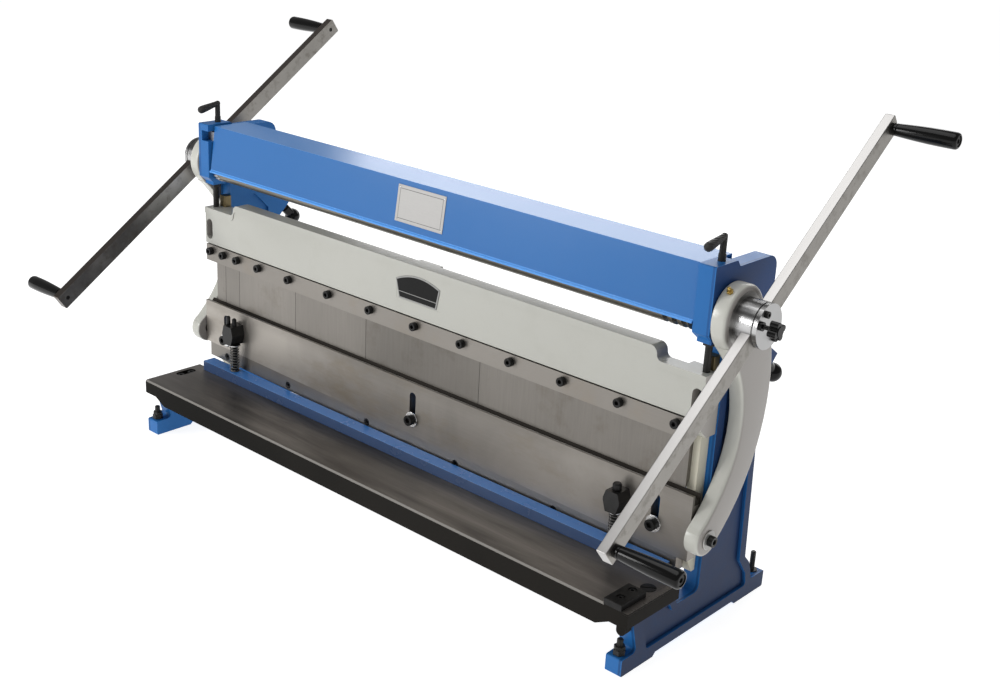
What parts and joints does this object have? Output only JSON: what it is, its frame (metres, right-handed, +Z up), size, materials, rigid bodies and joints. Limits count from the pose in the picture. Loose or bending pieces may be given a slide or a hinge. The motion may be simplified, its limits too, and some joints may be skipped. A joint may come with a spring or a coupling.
{
  "type": "combination sheet metal machine",
  "caption": "Hand cranked bench machine that shears, press brakes and slip rolls sheet: a raked ram under bending fingers, rolls above, a crank on each end.",
  "frame": {"origin": "on the floor plane of the feet, midway between the side frames, straight below the axis of the crank hubs", "axes": "+X along the rolls to the side with the squaring fence, +Y to the back of the machine, +Z up"},
  "size_m": [1.3498, 0.6132, 0.7035],
  "materials": {
    "blue_paint": "gloss machine enamel on cast iron",
    "beam_paint": "gloss machine enamel on steel",
    "pale_paint": "pale gloss enamel on cast iron",
    "cream_paint": "cream enamel",
    "dark_table": "ground and darkened",
    "bright_steel": "bright turned or drawn steel",
    "ground_steel": "surface ground",
    "die_steel": "oiled tool steel",
    "roll_steel": "turned and oiled",
    "gear_steel": "machined",
    "black_steel": "black oxide",
    "spring_steel": "black oxide",
    "bronze": "bronze bush",
    "brass": "plain",
    "plate_metal": "satin",
    "black_enamel": "black enamelled",
    "black_plastic": "gloss black"
  },
  "bodies": {
    "machine_base": {"left_side_frame": "blue_paint", "right_side_frame": "blue_paint", "shear_table": "dark_table", "edge_scale": "dark_table", "lower_shear_blade": "ground_steel", "lower_blade_screws": "black_steel", "squaring_fence": "black_steel", "table_screws": "black_steel", "top_beam": "beam_paint", "rating_plate": "plate_metal", "upper_die_beam": "pale_paint", "badge_plate": "black_enamel", "die_beam_bolts": "black_steel", "jack_screws": "black_steel", "die_end_blocks": "brass", "finger_clamp_bar": "ground_steel", "clamp_bar_bolts": "black_steel", "bending_fingers": "ground_steel", "guide_strips": "cream_paint", "foot_studs": "black_steel", "shaft_bushes": "bronze", "rear_bed_beam": "blue_paint", "bed_beam_bolts": "black_steel", "ram_guide_bolts": "black_steel", "ram_guide_washers": "bright_steel"},
    "ram": {"ram_plate": "ground_steel", "v_die": "die_steel", "upper_shear_blade": "ground_steel", "blade_screws": "black_steel", "arm_pins": "black_steel", "hold_down_brackets": "black_steel"},
    "hold_down": {"hold_down_bar": "beam_paint", "hold_down_rods": "black_steel", "left_hold_down_spring": "spring_steel", "right_hold_down_spring": "spring_steel"},
    "crank_shaft": {"lower_roll": "roll_steel", "drive_gear": "gear_steel", "eccentric_hubs": "bright_steel", "hub_screws": "black_steel", "left_crank_bar": "bright_steel", "right_crank_bar": "bright_steel", "grip_bolts": "black_steel"},
    "arm_left": {"left_arm": "pale_paint", "left_grease_nipple": "brass"},
    "arm_right": {"right_arm": "pale_paint", "right_grease_nipple": "brass"},
    "driven_roll": {"upper_roll": "roll_steel", "driven_gear": "gear_steel"},
    "roll_carriage": {"upper_bearing_blocks": "gear_steel"},
    "pinch_screw_left": {"left_pinch_screw": "black_steel"},
    "pinch_screw_right": {"right_pinch_screw": "black_steel"},
    "rear_carriage": {"rear_bearing_blocks": "gear_steel"},
    "rear_roll": {"rear_bend_roll": "roll_steel"},
    "rear_screw_left": {"left_rear_screw": "black_plastic"},
    "rear_screw_right": {"right_rear_screw": "black_plastic"},
    "hub_lock_right": {"right_hub_lock": "black_plastic"},
    "grip_left_upper": {"left_upper_grip": "black_plastic"},
    "grip_left_lower": {"left_lower_grip": "black_plastic"},
    "grip_right_upper": {"right_upper_grip": "black_plastic"},
    "grip_right_lower": {"right_lower_grip": "black_plastic"}
  },
  "joints": [
    {"name": "crank_turn", "type": "hinge", "parent": "machine_base", "child": "crank_shaft", "pos_m": [0, -0.0155, 0.463], "axis": [1, 0, 0], "range_deg": [-60, 30]},
    {"name": "ram_lift", "type": "slide", "parent": "machine_base", "child": "ram", "axis": [0, 0, 1], "range_m": [-0.0151, 0.0076]},
    {"name": "hold_down_slide", "type": "slide", "parent": "ram", "child": "hold_down", "axis": [0, 0, 1], "range_m": [-0.0076, 0.0151], "deforming": ["left_hold_down_spring", "right_hold_down_spring"]},
    {"name": "left_arm_swing", "type": "hinge", "parent": "crank_shaft", "child": "arm_left", "pos_m": [-0.5415, 0, 0.4685], "axis": [1, 0, 0], "range_deg": [-30.2, 60.2]},
    {"name": "right_arm_swing", "type": "hinge", "parent": "crank_shaft", "child": "arm_right", "pos_m": [0.5415, 0, 0.4685], "axis": [1, 0, 0], "range_deg": [-30.2, 60.2]},
    {"name": "roll_nip", "type": "slide", "parent": "machine_base", "child": "roll_carriage", "axis": [0, 0, 1], "range_m": [-0.0005, 0.002]},
    {"name": "upper_roll_turn", "type": "hinge", "parent": "roll_carriage", "child": "driven_roll", "pos_m": [0, -0.00955, 0.50619], "axis": [1, 0, 0], "range_deg": [-30.2, 60.2]},
    {"name": "left_pinch_turn", "type": "hinge", "parent": "roll_carriage", "child": "pinch_screw_left", "pos_m": [-0.51575, -0.0115, 0.55], "axis": [0, 0, 1], "range_deg": [-108, 360]},
    {"name": "right_pinch_turn", "type": "hinge", "parent": "roll_carriage", "child": "pinch_screw_right", "pos_m": [0.51575, -0.0115, 0.55], "axis": [0, 0, 1], "range_deg": [-108, 360]},
    {"name": "rear_nip", "type": "slide", "parent": "machine_base", "child": "rear_carriage", "axis": [0, -0.7071, 0.7071], "range_m": [-0.015, 0.009]},
    {"name": "rear_roll_turn", "type": "hinge", "parent": "rear_carriage", "child": "rear_roll", "pos_m": [0, 0.0385, 0.461], "axis": [1, 0, 0], "continuous": true},
    {"name": "left_rear_screw_turn", "type": "hinge", "parent": "rear_carriage", "child": "rear_screw_left", "pos_m": [-0.51575, 0.0885, 0.411], "axis": [0, -0.7071, 0.7071], "range_deg": [-2701, 1621]},
    {"name": "right_rear_screw_turn", "type": "hinge", "parent": "rear_carriage", "child": "rear_screw_right", "pos_m": [0.51575, 0.0885, 0.411], "axis": [0, -0.7071, 0.7071], "range_deg": [-2701, 1621]},
    {"name": "right_hub_lock_turn", "type": "hinge", "parent": "crank_shaft", "child": "hub_lock_right", "pos_m": [0.6, -0.0225, 0.475], "axis": [1, 0, 0], "range_deg": [0, 180]},
    {"name": "left_upper_grip_spin", "type": "hinge", "parent": "crank_shaft", "child": "grip_left_upper", "pos_m": [-0.625, 0.28834, 0.6704], "axis": [1, 0, 0], "continuous": true},
    {"name": "left_lower_grip_spin", "type": "hinge", "parent": "crank_shaft", "child": "grip_left_lower", "pos_m": [-0.625, -0.28834, 0.2666], "axis": [1, 0, 0], "continuous": true},
    {"name": "right_upper_grip_spin", "type": "hinge", "parent": "crank_shaft", "child": "grip_right_upper", "pos_m": [0.625, 0.27738, 0.68521], "axis": [1, 0, 0], "continuous": true},
    {"name": "right_lower_grip_spin", "type": "hinge", "parent": "crank_shaft", "child": "grip_right_lower", "pos_m": [0.625, -0.27738, 0.25179], "axis": [1, 0, 0], "continuous": true}
  ],
  "couplings": [
    {"joint": "ram_lift", "follows": "crank_turn", "m_per_rad": 0.014344},
    {"joint": "hold_down_slide", "follows": "crank_turn", "m_per_rad": -0.014344},
    {"joint": "left_arm_swing", "follows": "crank_turn", "ratio": -0.996},
    {"joint": "right_arm_swing", "follows": "crank_turn", "ratio": -0.996},
    {"joint": "upper_roll_turn", "follows": "crank_turn", "ratio": -1},
    {"joint": "left_pinch_turn", "follows": "roll_nip", "rad_per_m": 3141.6},
    {"joint": "right_pinch_turn", "follows": "roll_nip", "rad_per_m": 3141.6},
    {"joint": "left_rear_screw_turn", "follows": "rear_nip", "rad_per_m": 3141.6},
    {"joint": "right_rear_screw_turn", "follows": "rear_nip", "rad_per_m": 3141.6}
  ]
}
